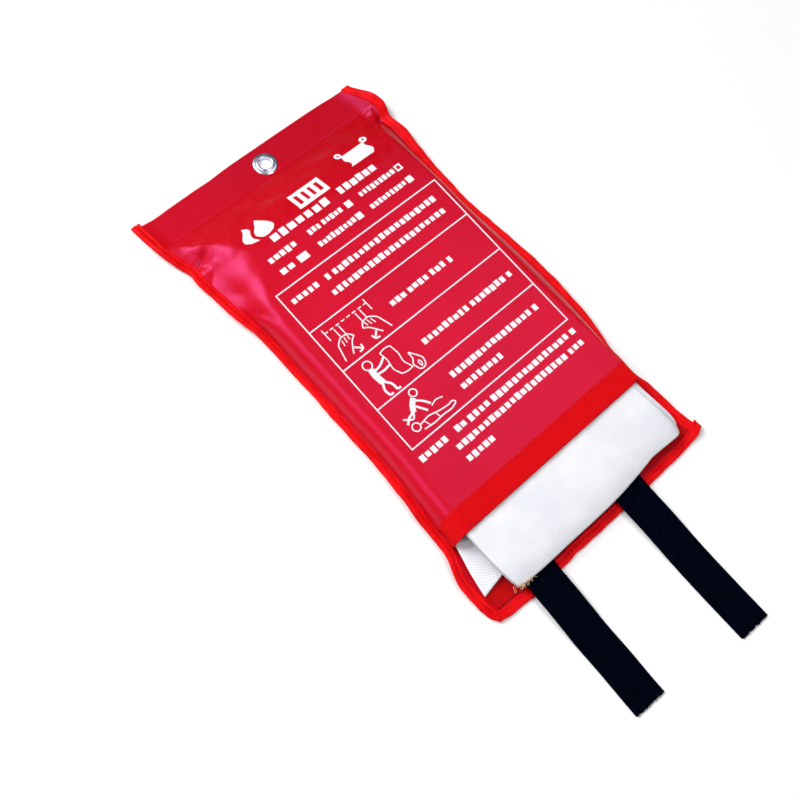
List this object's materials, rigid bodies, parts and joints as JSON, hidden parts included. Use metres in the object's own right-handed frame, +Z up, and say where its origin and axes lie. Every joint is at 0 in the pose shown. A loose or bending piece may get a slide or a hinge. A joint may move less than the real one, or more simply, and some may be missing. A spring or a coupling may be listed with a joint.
{
  "type": "fire blanket",
  "caption": "Folded glass-fibre fire blanket in a soft red wall pouch with a hanging eyelet, a hook-and-loop closing flap and black webbing pull straps.",
  "frame": {"origin": "centre of the whole object's bounding box at the surface it lies on, straps included", "axes": "+Y along the pouch from its mouth to its hanging header, +Z up out of the printed front, +X to the right seen from the mouth"},
  "size_m": [0.24, 0.566, 0.0227],
  "materials": {
    "coated_fabric": "satin",
    "binding_tape": "matte",
    "red_thread": "matte",
    "loop_pile": "matte",
    "hook_pile": "satin",
    "plated_metal": "polished",
    "white_ink": "matte",
    "glass_cloth": "satin",
    "white_thread": "matte",
    "black_webbing": "matte",
    "black_thread": "matte"
  },
  "bodies": {
    "pouch": {"back_panel": "coated_fabric", "front_panel": "coated_fabric", "front_panel_slope": "coated_fabric", "header_fold": "coated_fabric", "eyelet": "plated_metal", "eyelet_washer": "plated_metal", "left_side_binding": "binding_tape", "right_side_binding": "binding_tape", "left_side_stitching": "red_thread", "right_side_stitching": "red_thread", "header_stitching": "red_thread", "loop_tape": "loop_pile", "loop_tape_stitching": "red_thread", "instruction_print": "white_ink"},
    "flap": {"mouth_flap": "coated_fabric", "flap_left_binding": "binding_tape", "flap_right_binding": "binding_tape", "flap_end_binding": "binding_tape", "flap_stitching": "red_thread", "hook_tape": "hook_pile", "hook_tape_stitching": "red_thread"},
    "blanket": {"folded_blanket": "glass_cloth", "hem_stitching": "white_thread", "left_strap_sewn_end": "black_webbing", "right_strap_sewn_end": "black_webbing", "strap_stitching": "black_thread"},
    "left_strap": {"left_pull_strap": "black_webbing"},
    "right_strap": {"right_pull_strap": "black_webbing"}
  },
  "joints": [
    {"name": "blanket_pull", "type": "slide", "parent": "pouch", "child": "blanket", "axis": [0, -1, 0], "range_m": [0, 0.32]},
    {"name": "flap_fold", "type": "hinge", "parent": "pouch", "child": "flap", "pos_m": [0, -0.082, 0], "axis": [1, 0, 0], "range_deg": [0, 170]},
    {"name": "left_strap_lift", "type": "hinge", "parent": "blanket", "child": "left_strap", "pos_m": [-0.072, -0.141, 0.0076], "axis": [-0.9985, 0.0541, 0], "range_deg": [0, 90]},
    {"name": "right_strap_lift", "type": "hinge", "parent": "blanket", "child": "right_strap", "pos_m": [0.032, -0.141, 0.0076], "axis": [-0.9997, 0.0244, 0], "range_deg": [0, 90]}
  ]
}
